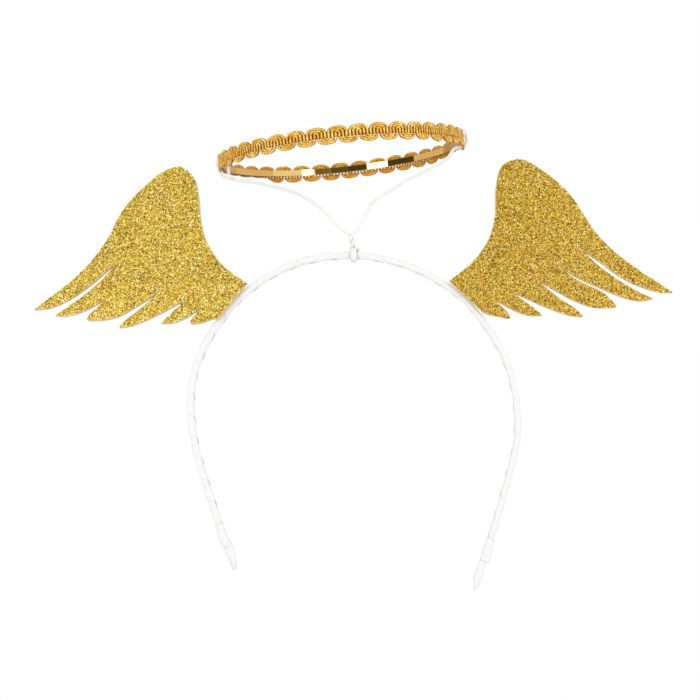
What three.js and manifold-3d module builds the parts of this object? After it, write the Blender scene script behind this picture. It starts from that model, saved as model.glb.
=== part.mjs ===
// Halo headband: a ribbon-wrapped arch with two glitter foam wings, and a wire fork that carries a
// braided gold hoop above the crown. Millimetres, +Z up, +X to the right seen from the front, front
// towards -Y. The origin is on the inner side of the band at its crown, where it sits on the head.

import * as THREE from 'three';
import { mergeVertices } from 'three/addons/utils/BufferGeometryUtils.js';
import Module from 'manifold-3d';

const wasm = await Module();
wasm.setup();

// Driving dimensions

const CLEARANCE = 0.3;            // gap left between pieces that touch on the real thing

const BAND_HALF_SPAN = 65.2;      // from the crown's middle to a leg's widest place, on the centreline
const LEFT_LEG_DROP = 126.3;      // from the crown down to the left tip, on the centreline
const RIGHT_LEG_DROP = 133.1;     // the right leg stands a little lower
const BAND_THICKNESS = 2.8;       // across the strap, ribbon included
const BAND_DEPTH = 5.5;           // front to back
const BAND_EDGE_RADIUS = 1.0;

const WING_REACH = 60;            // from the root's middle to the first tip, along the root
const WING_RISE = 60;             // from the root to the wing's peak, square to the root
const WING_THICKNESS = 2.0;
const WING_OVERLAP = 1.2;         // how far the root lies over the strap's face

const HALO_RADIUS = 49.4;         // outside of the braid
const HALO_SHIFT = -4.9;          // the hoop's middle stands this far to the left of the crown's
const HALO_HEIGHT = 42.0;         // and this far above the origin
const HALO_ROLL_DEG = 5.9;        // right side up
const HALO_PITCH_DEG = 3.9;       // front edge up

const BRAID_THICKNESS = 1.2;
const BRAID_HEIGHT = 7.1;         // across the braid, lobe to lobe
const BRAID_LOBE_DEPTH = 1.9;     // from a lobe's crest to the notch beside it
const BRAID_LOBES = 38;           // on each edge
const STRIP_THICKNESS = 0.5;
const STRIP_HEIGHT = 2.5;
const STRIP_RISE = 0.4;           // the strip's middle lies this much above the braid's

const WIRE_DIAMETER = 1.3;
const STEM_HEIGHT = 5.4;          // one full twist of the two strands
const STEM_LEAN = -1.2;           // the stem's top stands this far left of its foot
const STRAND_OFFSET = 0.6;        // from the stem's axis to a strand's centreline
const CUT_END_SPLAY = 1.5;        // how far each cut end stands off sideways on top of the strap

// How finely each curve is cut into flat faces

const BAND_STEPS = 58;
const WING_CURVE_STEPS = 4;
const SAMPLES_PER_LOBE = 6;
const STRIP_STEPS = 76;
const WIRE_STEPS = 112;
const WIRE_SIDES = 8;
const CAP_SIDES = 16;
const LENGTH_STEPS = 1200;        // for measuring along a curve
const MERGE_TOLERANCE = 1e-4;

// The strap's centreline from the crown to each tip, as shares of the half span and of the leg's drop

const BAND_ROWS = [
  { leftReach: 0.206, leftDrop: 0.007, rightReach: 0.163, rightDrop: 0.010 },
  { leftReach: 0.390, leftDrop: 0.032, rightReach: 0.347, rightDrop: 0.035 },
  { leftReach: 0.574, leftDrop: 0.082, rightReach: 0.531, rightDrop: 0.080 },
  { leftReach: 0.755, leftDrop: 0.164, rightReach: 0.695, rightDrop: 0.140 },
  { leftReach: 0.911, leftDrop: 0.281, rightReach: 0.883, rightDrop: 0.267 },
  { leftReach: 0.985, leftDrop: 0.382, rightReach: 0.963, rightDrop: 0.363 },
  { leftReach: 1.003, leftDrop: 0.484, rightReach: 0.997, rightDrop: 0.459 },
  { leftReach: 0.982, leftDrop: 0.585, rightReach: 0.997, rightDrop: 0.555 },
  { leftReach: 0.933, leftDrop: 0.686, rightReach: 0.954, rightDrop: 0.651 },
  { leftReach: 0.837, leftDrop: 0.838, rightReach: 0.871, rightDrop: 0.796 },
  { leftReach: 0.727, leftDrop: 1.000, rightReach: 0.745, rightDrop: 1.000 },
];

// The wing's leading edge from the root's upper corner over the peak to the first tip, as shares of
// WING_REACH along the root, towards the leg's tip, and of WING_RISE square to it

const LEADING_EDGE = [
  { along: -0.148, out: 0.013 },
  { along: -0.127, out: 0.208 },
  { along: -0.150, out: 0.410 },
  { along: -0.250, out: 0.587 },
  { along: -0.370, out: 0.735 },
  { along: -0.411, out: 0.848 },
  { along: -0.368, out: 0.942 },
  { along: -0.250, out: 0.993 },
  { along: -0.042, out: 1.010 },
  { along: 0.168, out: 0.983 },
  { along: 0.300, out: 0.942 },
  { along: 0.508, out: 0.912 },
  { along: 0.717, out: 0.920 },
  { along: 0.993, out: 0.957 },
];

// Each feather from its tip back: two points of its lower edge, the notch behind it, and one point of
// the next feather's upper edge. The last row's notch is the root's lower corner.

const FEATHERS = [
  {
    tip: [0.993, 0.957], belly: [0.890, 0.875], flank: [0.650, 0.802],
    notch: [0.393, 0.772], back: [0.670, 0.782],
  },
  {
    tip: [0.947, 0.845], belly: [0.853, 0.745], flank: [0.612, 0.632],
    notch: [0.343, 0.590], back: [0.565, 0.622],
  },
  {
    tip: [0.778, 0.635], belly: [0.713, 0.558], flank: [0.533, 0.470],
    notch: [0.342, 0.420], back: [0.505, 0.430],
  },
  {
    tip: [0.662, 0.437], belly: [0.588, 0.378], flank: [0.415, 0.308],
    notch: [0.242, 0.247], back: [0.345, 0.253],
  },
  {
    tip: [0.447, 0.253], belly: [0.408, 0.208], flank: [0.305, 0.158],
    notch: [0.195, 0.127], back: [0.253, 0.122],
  },
  {
    tip: [0.303, 0.100], belly: [0.282, 0.073], flank: [0.220, 0.038],
    notch: [0.157, 0.005], back: null,
  },
];

// Where each root's middle sits, as a share of its leg's length from the crown, how far the wing is
// swept back about its root, and how far it is turned from the strap's own line

const WINGS = [
  { name: 'wing_left', side: -1, seat: 0.315, sweepDeg: 14.3, turnDeg: -0.9 },
  { name: 'wing_right', side: 1, seat: 0.282, sweepDeg: 7.0, turnDeg: -1.2 },
];

// The bare stretch of each wire arm, from the stem's top to just short of the halo, as shares of
// HALO_RADIUS sideways from the stem and of the halo's height above the stem's top. hookDeg is where
// the arm's end hooks over the hoop, from +X towards +Y, and under is how far below the hoop's middle
// the wire passes from the inside to the outside, as a share of the braid's half height.

const WIRE_ARMS = [
  {
    hookDeg: 172,
    under: 1.27,
    points: [
      { reach: -0.065, rise: 0.066 },
      { reach: -0.112, rise: 0.116 },
      { reach: -0.183, rise: 0.262 },
      { reach: -0.298, rise: 0.395 },
      { reach: -0.414, rise: 0.496 },
      { reach: -0.576, rise: 0.574 },
      { reach: -0.760, rise: 0.636 },
      { reach: -0.920, rise: 0.668 },
    ],
  },
  {
    hookDeg: -3,
    under: 0.76,
    points: [
      { reach: 0.045, rise: 0.034 },
      { reach: 0.082, rise: 0.128 },
      { reach: 0.122, rise: 0.242 },
      { reach: 0.172, rise: 0.386 },
      { reach: 0.245, rise: 0.480 },
      { reach: 0.330, rise: 0.566 },
      { reach: 0.437, rise: 0.674 },
      { reach: 0.545, rise: 0.752 },
      { reach: 0.672, rise: 0.842 },
      { reach: 0.778, rise: 0.950 },
    ],
  },
];

// A hook's way round the hoop: across from its inner leg to its outer leg, up from the low pass under
// the hoop to the high pass over it

const HOOK_ROWS = [
  { across: -0.31, up: -0.06 },
  { across: 0.50, up: 0.00 },
  { across: 0.95, up: 0.11 },
  { across: 1.00, up: 0.50 },
  { across: 0.97, up: 0.88 },
  { across: 0.63, up: 1.00 },
  { across: 0.35, up: 1.00 },
  { across: 0.00, up: 0.87 },
  { across: 0.00, up: 0.55 },
  { across: 0.00, up: 0.27 },
];

// Derived places

const HALO_CENTRE = new THREE.Vector3(HALO_SHIFT, 0, HALO_HEIGHT);
const WIRE_RADIUS = WIRE_DIAMETER / 2;
const BRAID_INNER = HALO_RADIUS - BRAID_THICKNESS;
const STRIP_OUTER = BRAID_INNER - CLEARANCE;
const STRIP_INNER = STRIP_OUTER - STRIP_THICKNESS;
const STEM_FOOT = BAND_THICKNESS + CLEARANCE + WIRE_DIAMETER;
const STEM_TOP = STEM_FOOT + STEM_HEIGHT;

// Materials

function finish(color, roughness, metalness) {
  return new THREE.MeshStandardMaterial({ color, roughness, metalness });
}

const ribbonWhite = finish(0xf4f4f2, 0.45, 0);
const glitterGold = finish(0xc9a227, 0.4, 0.7);
const mirrorGold = finish(0xd9ac5e, 0.08, 1);
const braidGold = finish(0xd8951f, 0.45, 0.5);
const wireWhite = finish(0xf2f2ee, 0.4, 0);

// Geometry helpers

function closedGeometry(geometry) {
  geometry.deleteAttribute('normal');
  geometry.deleteAttribute('uv');
  return mergeVertices(geometry, MERGE_TOLERANCE);
}

function solidOf(geometry) {
  const closed = closedGeometry(geometry);
  return new wasm.Manifold(new wasm.Mesh({
    numProp: 3,
    vertProperties: new Float32Array(closed.attributes.position.array),
    triVerts: new Uint32Array(closed.index.array),
  }));
}

function geometryOf(solid) {
  const mesh = solid.getMesh();
  const geometry = new THREE.BufferGeometry();
  geometry.setAttribute('position', new THREE.BufferAttribute(new Float32Array(mesh.vertProperties), 3));
  geometry.setIndex(new THREE.BufferAttribute(new Uint32Array(mesh.triVerts), 1));
  return geometry;
}

function piece(name, geometry, material) {
  const mesh = new THREE.Mesh(geometry, material);
  mesh.name = name;
  return mesh;
}

// A round tube along a curve, closed at both ends
function tube(curve, radius, steps) {
  const section = new THREE.Shape();
  section.absarc(0, 0, radius, 0, 2 * Math.PI);
  return new THREE.ExtrudeGeometry(section, { extrudePath: curve, steps, curveSegments: WIRE_SIDES / 2 });
}

// The headband

function legPoint(row, side) {
  const reach = side < 0 ? -row.leftReach : row.rightReach;
  const drop = side < 0 ? row.leftDrop * LEFT_LEG_DROP : row.rightDrop * RIGHT_LEG_DROP;
  return new THREE.Vector3(reach * BAND_HALF_SPAN, 0, BAND_THICKNESS / 2 - drop);
}

const bandCurve = new THREE.CatmullRomCurve3([
  ...BAND_ROWS.map((row) => legPoint(row, -1)).reverse(),
  new THREE.Vector3(0, 0, BAND_THICKNESS / 2),
  ...BAND_ROWS.map((row) => legPoint(row, 1)),
], false, 'centripetal');
bandCurve.arcLengthDivisions = LENGTH_STEPS;

// The crown's place along the whole strap: its table gives each leg as many points
const crownShare = bandCurve.getLengths()[bandCurve.arcLengthDivisions / 2] / bandCurve.getLength();

// A rectangle about the origin with round corners
function roundedRectangle(width, height, radius) {
  const x = width / 2 - radius;
  const y = height / 2 - radius;
  const shape = new THREE.Shape();
  shape.absarc(x, -y, radius, -Math.PI / 2, 0);
  shape.absarc(x, y, radius, 0, Math.PI / 2);
  shape.absarc(-x, y, radius, Math.PI / 2, Math.PI);
  shape.absarc(-x, -y, radius, Math.PI, 1.5 * Math.PI);
  return shape;
}

// The strap's section turned about its own middle line, which rounds a tip off
function tipCap(place) {
  const cornerSteps = 2;
  const half = BAND_DEPTH / 2;
  const flat = BAND_THICKNESS / 2 - BAND_EDGE_RADIUS;
  const corner = (from, y) => Array.from({ length: cornerSteps + 1 }, (_, k) => {
    const angle = from + (k / cornerSteps) * (Math.PI / 2);
    const round = new THREE.Vector2(Math.cos(angle), Math.sin(angle)).multiplyScalar(BAND_EDGE_RADIUS);
    return round.add(new THREE.Vector2(flat, y));
  });
  const profile = [
    new THREE.Vector2(0, -half),
    ...corner(-Math.PI / 2, -half + BAND_EDGE_RADIUS),
    ...corner(0, half - BAND_EDGE_RADIUS),
    new THREE.Vector2(0, half),
  ];
  return new THREE.LatheGeometry(profile, CAP_SIDES).translate(place.x, place.y, place.z);
}

function headband() {
  const section = roundedRectangle(BAND_DEPTH, BAND_THICKNESS, BAND_EDGE_RADIUS);
  const strap = new THREE.ExtrudeGeometry(section, {
    extrudePath: bandCurve, steps: BAND_STEPS, curveSegments: 1,
  });
  const solid = solidOf(strap)
    .add(solidOf(tipCap(bandCurve.getPointAt(0))))
    .add(solidOf(tipCap(bandCurve.getPointAt(1))));
  return piece('headband', geometryOf(solid), ribbonWhite);
}

// The wings

function wingPoint([along, out]) {
  return new THREE.Vector2(along * WING_REACH, out * WING_RISE);
}

function wingOutline() {
  const edge = LEADING_EDGE.map((row) => wingPoint([row.along, row.out]));
  const shape = new THREE.Shape();
  shape.moveTo(edge[0].x, edge[0].y);
  shape.splineThru(edge.slice(1));
  for (const feather of FEATHERS) {
    shape.splineThru([feather.belly, feather.flank, feather.notch].map(wingPoint));
    if (feather.back) {
      const next = FEATHERS[FEATHERS.indexOf(feather) + 1];
      shape.splineThru([feather.back, next.tip].map(wingPoint));
    }
  }
  shape.quadraticCurveTo(0, 0, edge[0].x, edge[0].y);
  return shape;
}

// How far the strap's section reaches from its middle in the direction that a swept wing faces
function strapSupport(sweep) {
  return Math.sin(sweep) * (BAND_THICKNESS / 2 - BAND_EDGE_RADIUS)
    + Math.cos(sweep) * (BAND_DEPTH / 2 - BAND_EDGE_RADIUS) + BAND_EDGE_RADIUS;
}

// A wing lies against the strap's front edge, its root along the strap, and is swept back about it
function wing({ name, side, seat, sweepDeg, turnDeg }) {
  const at = side < 0 ? crownShare * (1 - seat) : crownShare + (1 - crownShare) * seat;
  const seatPoint = bandCurve.getPointAt(at);
  const along = bandCurve.getTangentAt(at).multiplyScalar(side);
  along.applyAxisAngle(new THREE.Vector3(0, 1, 0), THREE.MathUtils.degToRad(side * turnDeg));
  const away = new THREE.Vector3(-along.z * side, 0, along.x * side);
  const sweep = THREE.MathUtils.degToRad(sweepDeg);
  const out = away.clone().multiplyScalar(Math.cos(sweep)).add(new THREE.Vector3(0, Math.sin(sweep), 0));
  const facing = away.clone().multiplyScalar(Math.sin(sweep)).add(new THREE.Vector3(0, -Math.cos(sweep), 0));
  const blank = new THREE.ExtrudeGeometry(wingOutline(), {
    depth: WING_THICKNESS, bevelEnabled: false, curveSegments: WING_CURVE_STEPS,
  });
  blank.translate(0, BAND_THICKNESS / 2 - WING_OVERLAP, -WING_THICKNESS / 2);
  const mesh = piece(name, closedGeometry(blank), glitterGold);
  const standoff = strapSupport(sweep) + CLEARANCE + WING_THICKNESS / 2;
  mesh.quaternion.setFromRotationMatrix(
    new THREE.Matrix4().makeBasis(along, out, new THREE.Vector3().crossVectors(along, out)),
  );
  mesh.position.copy(seatPoint).addScaledVector(facing, standoff);
  return mesh;
}

// The halo, in its own frame: its axis along Z and its middle at the origin

function hoop(inner, outer, height, steps) {
  const half = height / 2;
  const profile = [
    [inner, -half], [outer, -half], [outer, half], [inner, half], [inner, -half],
  ].map(([x, y]) => new THREE.Vector2(x, y));
  return closedGeometry(new THREE.LatheGeometry(profile, steps).rotateX(Math.PI / 2));
}

function halfHeight(turns) {
  const roundness = 2.2;
  const offset = Math.abs(2 * (turns - Math.round(turns)));
  const lobe = Math.max(0, 1 - offset ** roundness) ** (1 / roundness);
  return BRAID_HEIGHT / 2 - BRAID_LOBE_DEPTH * (1 - lobe);
}

// The upper lobes stand half a pitch from the lower ones
function braidHoop() {
  const geometry = hoop(BRAID_INNER, HALO_RADIUS, BRAID_HEIGHT, BRAID_LOBES * SAMPLES_PER_LOBE);
  const position = geometry.attributes.position;
  for (let i = 0; i < position.count; i += 1) {
    const pitches = (Math.atan2(position.getY(i), position.getX(i)) / (2 * Math.PI)) * BRAID_LOBES;
    const up = position.getZ(i) > 0;
    position.setZ(i, up ? halfHeight(pitches) : -halfHeight(pitches + 0.5));
  }
  return geometry;
}

const haloTilt = new THREE.Euler(
  THREE.MathUtils.degToRad(-HALO_PITCH_DEG), THREE.MathUtils.degToRad(-HALO_ROLL_DEG), 0, 'YXZ',
);
const haloPlace = new THREE.Matrix4().makeRotationFromEuler(haloTilt).setPosition(HALO_CENTRE);

function haloPoint(radius, angleDeg, height) {
  const angle = THREE.MathUtils.degToRad(angleDeg);
  const point = new THREE.Vector3(radius * Math.cos(angle), radius * Math.sin(angle), height);
  return point.applyMatrix4(haloPlace);
}

// The wire is two strands, each with a turn round the strap, its part of the twisted stem, an arm and a
// hook over the hoop

// One coordinate of the wire's way round a rounded section, from the section's half width there and the
// direction's cosine or sine
function aroundCorner(halfWidth, share) {
  const side = Math.sign(Math.round(share * 1000));
  return side * (halfWidth - BAND_EDGE_RADIUS) + share * (BAND_EDGE_RADIUS + CLEARANCE + WIRE_RADIUS);
}

// From the cut end on top of the strap, down its back, under it and up its front
function strapTurn(side) {
  const steps = 11;
  const stepDeg = 30;
  return Array.from({ length: steps + 1 }, (_, k) => {
    const angle = THREE.MathUtils.degToRad(90 - k * stepDeg);
    const y = aroundCorner(BAND_DEPTH / 2, Math.cos(angle));
    const z = aroundCorner(BAND_THICKNESS / 2, Math.sin(angle));
    const x = side * (WIRE_RADIUS + CUT_END_SPLAY * (1 - k / steps) ** 3);
    return new THREE.Vector3(x, y, BAND_THICKNESS / 2 + z);
  });
}

function stemTwist(side) {
  const steps = 8;
  return Array.from({ length: steps + 1 }, (_, k) => {
    const angle = (side > 0 ? 0 : Math.PI) + (k / steps) * 2 * Math.PI;
    return new THREE.Vector3(
      STEM_LEAN * (k / steps) + STRAND_OFFSET * Math.cos(angle), STRAND_OFFSET * Math.sin(angle),
      STEM_FOOT + (k / steps) * STEM_HEIGHT,
    );
  });
}

function armPoints(arm) {
  const height = HALO_CENTRE.z - STEM_TOP;
  return arm.points.map(({ reach, rise }) => new THREE.Vector3(
    STEM_LEAN + reach * HALO_RADIUS, 0, STEM_TOP + rise * height,
  ));
}

// Under the hoop from the inside, up its outer face, over its edge and down its inner face
function hookPoints({ hookDeg, under }) {
  const gap = CLEARANCE + WIRE_RADIUS;
  const outer = HALO_RADIUS + gap;
  const inner = STRIP_INNER - gap;
  const top = BRAID_HEIGHT / 2 + gap;
  const low = -under * (BRAID_HEIGHT / 2);
  const { lerp } = THREE.MathUtils;
  return HOOK_ROWS.map(({ across, up }) => (
    haloPoint(lerp(inner, outer, across), hookDeg, lerp(low, top, up))
  ));
}

function strand(index, radius) {
  const side = index === 0 ? -1 : 1;
  const arm = WIRE_ARMS[index];
  const curve = new THREE.CatmullRomCurve3([
    ...strapTurn(side), ...stemTwist(side), ...armPoints(arm), ...hookPoints(arm),
  ], false, 'centripetal');
  curve.arcLengthDivisions = LENGTH_STEPS;
  return solidOf(tube(curve, radius, WIRE_STEPS));
}

function haloWire() {
  return piece('halo_wire', geometryOf(strand(0, WIRE_RADIUS).add(strand(1, WIRE_RADIUS))), wireWhite);
}

// The braid gives way where the wire passes between its lobes
function halo() {
  const group = new THREE.Group();
  group.position.copy(HALO_CENTRE);
  group.rotation.copy(haloTilt);
  const wayBack = haloPlace.clone().invert().elements;
  const passage = strand(0, WIRE_RADIUS + CLEARANCE).add(strand(1, WIRE_RADIUS + CLEARANCE));
  const braid = solidOf(braidHoop()).subtract(passage.transform(wayBack));
  group.add(piece('halo_braid', geometryOf(braid), braidGold));
  group.add(piece('halo_strip', hoop(STRIP_INNER, STRIP_OUTER, STRIP_HEIGHT, STRIP_STEPS)
    .translate(0, 0, STRIP_RISE), mirrorGold));
  return group;
}

const group = new THREE.Group();
group.add(headband());
for (const row of WINGS) {
  group.add(wing(row));
}
group.add(halo());
group.add(haloWire());

export default group;
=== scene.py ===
# Halo headband with wings: a ribbon-wrapped arch, two glitter foam wings, and a gold braid hoop that
# stands above the crown on a fork of white wire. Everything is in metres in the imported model's frame:
# +Z up, front towards -Y, and the origin under the crown of the arch.

import math

import bpy
import numpy as np
from mathutils import Matrix, Vector, noise
from mathutils.kdtree import KDTree


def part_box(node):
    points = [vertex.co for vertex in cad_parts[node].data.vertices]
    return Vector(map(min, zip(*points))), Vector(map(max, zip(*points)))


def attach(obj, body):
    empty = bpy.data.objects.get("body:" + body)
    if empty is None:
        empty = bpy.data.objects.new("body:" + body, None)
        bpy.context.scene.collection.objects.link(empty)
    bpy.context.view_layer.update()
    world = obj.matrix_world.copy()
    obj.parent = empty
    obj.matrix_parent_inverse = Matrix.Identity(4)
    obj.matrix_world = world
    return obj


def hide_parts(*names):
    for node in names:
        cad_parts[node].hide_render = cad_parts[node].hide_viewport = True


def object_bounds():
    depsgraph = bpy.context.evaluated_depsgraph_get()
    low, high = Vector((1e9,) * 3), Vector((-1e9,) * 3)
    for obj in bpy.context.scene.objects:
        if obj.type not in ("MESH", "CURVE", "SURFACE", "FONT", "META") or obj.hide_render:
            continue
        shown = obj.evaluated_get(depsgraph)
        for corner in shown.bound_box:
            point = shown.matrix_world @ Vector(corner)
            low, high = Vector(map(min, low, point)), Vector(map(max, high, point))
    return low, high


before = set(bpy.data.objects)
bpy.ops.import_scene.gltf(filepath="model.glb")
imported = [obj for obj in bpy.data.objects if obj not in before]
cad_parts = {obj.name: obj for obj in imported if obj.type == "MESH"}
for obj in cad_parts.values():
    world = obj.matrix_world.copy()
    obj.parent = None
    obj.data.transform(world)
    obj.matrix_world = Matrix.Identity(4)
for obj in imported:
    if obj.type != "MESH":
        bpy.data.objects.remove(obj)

MM = 0.001
cad_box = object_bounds()

# The photograph's own view: straight ahead, level with the middle of the whole headband
CAMERA_PLACE = Vector((-1.4, -950.0, -36.6)) * MM
VIEW_WIDTH = 280.0 * MM
SENSOR_WIDTH = 36.0
FLOOR_DROP = 90.0 * MM
FLOOR_FADE = (0.20, 0.31)  # the floor turns into the room's white between these, in metres

# The arch
BAND_THICKNESS = 2.8 * MM
BAND_DEPTH = 5.5 * MM
BAND_EDGE_RADIUS = 1.0 * MM
HEAD_MIDDLE = Vector((0.0, 0.0, -60.0)) * MM
CORE_INSET = 0.62 * MM
CORE_EDGE_RADIUS = 0.4 * MM
CORE_END = 0.8 * MM  # the core stops this far short of each tip

# The ribbon's turns. Runs along the strap are shares of the way from the left tip to the right.
RIBBON_PITCH = 8.8 * MM
RIBBON_WIDTH = 12.0 * MM
RIBBON_THICKNESS = 0.17 * MM
RIBBON_SWAY = 0.35 * MM  # how far a turn wanders along the strap
RIBBON_RIPPLE = 0.04 * MM
RIBBON_STEPS_A_TURN = 36
RIBBON_STRIPS = 16
WRAP_MARGIN = 4.0 * MM
LAP_LIFT = 1.15 * RIBBON_THICKNESS  # a turn is lifted this much where it lies on the one before
LAP_SHARE = 0.75  # it starts to come down at this share of the lap
LAP_FALL = 0.9 * MM  # and is down this much further on
LEFT_FULLNESS = 0.35 * MM  # the wrap is fuller on the left leg, and lies inwards a little
LEFT_FULL_RUN = (0.05, 0.08, 0.45, 0.53)
LEFT_INWARDS = 0.15 * MM
RIGHT_OUTWARDS = 0.30 * MM
OUTWARDS_RUN = (0.66, 0.78)

# The tips, each measured from its own end
TIP_REACH = 14.0 * MM
TIP_PAST_END = {"left": -0.5 * MM, "right": 0.8 * MM}
TIP_TAPER = {"left": 7.5 * MM, "right": 4.5 * MM}
TIP_BLUNT = 0.8 * MM
TIP_ROUNDING = 1.4 * MM
TIP_THINNING = 0.45  # the shares of its thickness and its depth that a tip loses
TIP_NARROWING = 0.12
TIP_BULGE = {"left": 1.1 * MM, "right": 0.7 * MM}
TIP_BULGE_RUN = (1.0 * MM, 5.0 * MM, 10.0 * MM, TIP_REACH)
TIP_LUMPS = 0.10 * MM
CREASE_DEPTH = 0.16 * MM
CREASE_HEIGHT, CREASE_WIDTH = 0.15, 0.16  # shares of half the strap's thickness
CUFF_START = {"left": 10.6 * MM, "right": 11.7 * MM}
CUFF_LENGTH = 9.0 * MM
CUFF_WAVER = 0.6 * MM
CUFF_FLARE = {"left": 0.25 * MM, "right": 0.55 * MM}
CUFF_FLARED = (0.60, 0.42)  # the flare fades between these shares of its length, from the cut edge
CUFF_LIFTS = (0.7 * RIBBON_THICKNESS, 0.1 * RIBBON_THICKNESS)  # at its cut edge and at its inner end

# The glitter
FLAKE_RADIUS = 0.28 * MM
FLAKE_SIZES = (0.62, 1.15)  # the smallest and the largest flake, as shares of that
FLAKE_SPACING = 0.405 * MM
FLAKE_LEAN = math.radians(29)
FLAKE_LIFTS = (0.03 * MM, 0.13 * MM)
WING_PAINTED_SHADE = {"left": (1.0, 1.0, 0.98), "right": (0.88, 0.80, 0.64)}  # painted shade: the right wing is painted darker

# The halo, whose place and radii are read from the imported strip. Bearings are in degrees from +X
# towards the rear.
BRAID_HEIGHT = 7.1 * MM
BRAID_LOBES = 38
BRAID_MIDDLE_DROP = 0.4 * MM
BRAID_RIPPLE = 0.10 * MM
BRAID_RIPPLE_GRAIN = 2.6 * MM
CORD_REACHES = (0.165, 0.5, 0.835)  # half width of each cord's upper lobe, as shares of half a pitch
CORD_WIDTH = 1.3 * MM
CORD_STEP = 0.25 * MM
PLY_LENGTH = 2.1 * MM
LOBE_MIDDLE = 1.0 * MM  # the lobes start this far above and below the braid's middle
LOBE_ROUNDNESS = 2.2  # 2 is an ellipse, and more is squarer
LOBE_CROWDING = 0.065  # how far the lobes are pushed along towards the right, in radians
LEFT_SQUEEZE = (124, 134, 184, 204)
RIGHT_SQUEEZE = (2, 12, 20, 44)
LOW_LOBE = (315, 322, 333, 340)
PINHOLE_DROP = 1.1 * MM  # a running thread nips the cords here, and leaves a row of pinholes
PINHOLE_NIP = 0.38
PINHOLE_WIDTH = 0.32 * MM
RIM = (2.7 * MM, 3.4 * MM)  # the lobes' outer edge, which takes a painted highlight all round
THREAD_HEIGHTS = (-1.5 * MM, 1.3 * MM)
THREAD_WIDTH = 0.24 * MM
THREAD_STITCHES = 6  # half waves a lobe
THREAD_SWING = 0.55 * CORD_WIDTH
STRIP_HEIGHT = 2.5 * MM
STRIP_THICKNESS = 0.35 * MM
PAINTED_SHADE_END = {"left": 44.3 * MM, "right": 43.2 * MM}  # past this, sideways, the strip is painted a dull brown shade

# The wire
WIRE_DIAMETER = 1.3 * MM
WIRE_GAP = 0.3 * MM
WIRE_PARTING = 0.12 * MM  # the braid's threads keep this far off the wire
STEM_HEIGHT = 5.4 * MM
STEM_LEAN = -1.2 * MM
STRAND_OFFSET = 0.62 * MM
STRAND_ASIDE = 0.40 * WIRE_DIAMETER  # how far a strand lies from the crown's middle
CUT_END_SPLAY = {-1: 0.3 * MM, 1: 1.5 * MM}


# Hand tools

def only(piece):
    """Selects this piece alone, because an operator acts on all that is selected."""
    bpy.ops.object.select_all(action="DESELECT")
    piece.select_set(True)
    bpy.context.view_layer.objects.active = piece
    return piece


def started(name):
    """The primitive just added, named for what it becomes."""
    piece = bpy.context.object
    piece.name = piece.data.name = name
    return only(piece)


def edited(piece, *steps):
    """Runs edit-mode steps on all of a piece's faces."""
    only(piece)
    bpy.ops.object.mode_set(mode="EDIT")
    bpy.ops.mesh.select_all(action="SELECT")
    for step in steps:
        step()
    bpy.ops.object.mode_set(mode="OBJECT")
    return piece


def merged(piece, distance=0.01 * MM):
    """Closes a piece's seams and turns its faces outwards."""
    return edited(
        piece,
        lambda: bpy.ops.mesh.remove_doubles(threshold=distance),
        lambda: bpy.ops.mesh.normals_make_consistent(inside=False),
    )


def modified(piece, kind, **settings):
    """Adds a modifier, sets it and applies it."""
    only(piece)
    bpy.ops.object.modifier_add(type=kind)
    modifier = piece.modifiers[-1]
    for key, value in settings.items():
        setattr(modifier, key, value)
    bpy.ops.object.modifier_apply(modifier=modifier.name)
    return piece


def smoothed(piece, degrees=40):
    only(piece)
    bpy.ops.object.shade_smooth_by_angle(angle=math.radians(degrees))
    return piece


def joined(name, pieces):
    bpy.ops.object.select_all(action="DESELECT")
    for piece in pieces:
        piece.select_set(True)
    bpy.context.view_layer.objects.active = pieces[0]
    bpy.ops.object.join()
    return started(name)


def laid(name, long_steps, cross_steps, place):
    """A grid whose every point is laid where place(u, v) says, u running along it and v across."""
    bpy.ops.mesh.primitive_grid_add(x_subdivisions=long_steps, y_subdivisions=cross_steps, size=1)
    piece = started(name)
    for vertex in piece.data.vertices:
        vertex.co = place(vertex.co.x + 0.5, vertex.co.y + 0.5)
    piece.data.update()
    return piece


def drawn(name, lines, width, sides=12, closed_ends=True, profile=None, twist=None, slimmed=None):
    """Round cord or wire along each line of points, made a mesh. A profile's outline takes the round
    section's place, and is turned once in each length of twist. slimmed(point) gives the share of the
    width that is left at a point."""
    curve = bpy.data.curves.new(name, "CURVE")
    curve.dimensions = "3D"
    curve.use_fill_caps = closed_ends
    curve.bevel_resolution = sides // 2 - 2
    curve.bevel_depth = width / 2
    if profile:
        curve.bevel_mode = "OBJECT"
        curve.bevel_object = profile
    for points in lines:
        spline = curve.splines.new("POLY")
        spline.points.add(len(points) - 1)
        run = 0.0
        for i, point in enumerate(points):
            run += (Vector(point) - Vector(points[i - 1])).length if i else 0.0
            spline.points[i].co = (*point, 1.0)
            spline.points[i].tilt = 2 * math.pi * run / twist if twist else 0.0
            spline.points[i].radius = slimmed(point) if slimmed else 1.0
    piece = bpy.data.objects.new(name, curve)
    bpy.context.collection.objects.link(piece)
    only(piece)
    bpy.ops.object.convert(target="MESH")
    return smoothed(started(name), 60)


def finished(piece, finish, replaces=()):
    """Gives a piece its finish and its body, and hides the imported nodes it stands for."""
    piece.data.materials.clear()
    for material in finish if isinstance(finish, (list, tuple)) else [finish]:
        piece.data.materials.append(material)
    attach(piece, "root")
    if replaces:
        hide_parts(*replaces)
    return piece


def smooth_step(low, high, value):
    """A soft rise from 0 at low to 1 at high, or a fall where low is the larger."""
    share = min(max((value - low) / (high - low), 0.0), 1.0)
    return share * share * (3 - 2 * share)


def stretch(run, value):
    """0 where a run starts, 1 between its second and third place, and 0 again at its fourth."""
    start, full, going, gone = run
    return smooth_step(start, full, value) * smooth_step(gone, going, value)


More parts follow.
